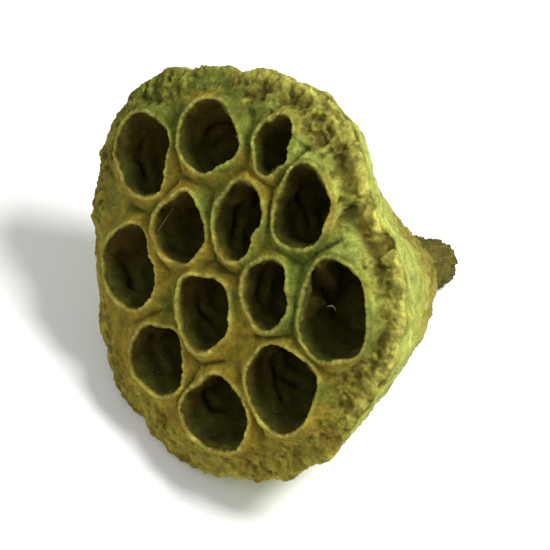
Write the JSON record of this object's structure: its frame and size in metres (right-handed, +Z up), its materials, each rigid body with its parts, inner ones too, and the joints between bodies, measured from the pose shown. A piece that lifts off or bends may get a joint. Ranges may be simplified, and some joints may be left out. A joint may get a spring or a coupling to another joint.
{
  "type": "dried lotus pod",
  "caption": "Dried lotus seed pod: a leaning cone with a crinkled rim, a flat face of empty raised-lip seed chambers and a short stem stub, lying on its side.",
  "frame": {"origin": "centre of the bounding box on the surface the pod lies on", "axes": "+Z up from the surface; the seed face looks towards -Y and upwards, the stem stub points to +Y; +X runs across the pod and is its longest extent"},
  "size_m": [0.0666, 0.0572, 0.0559],
  "materials": {
    "husk": "dry fibrous husk, moss green over ochre, matte"
  },
  "bodies": {
    "root": {"lotus_pod": "husk"}
  },
  "joints": []
}
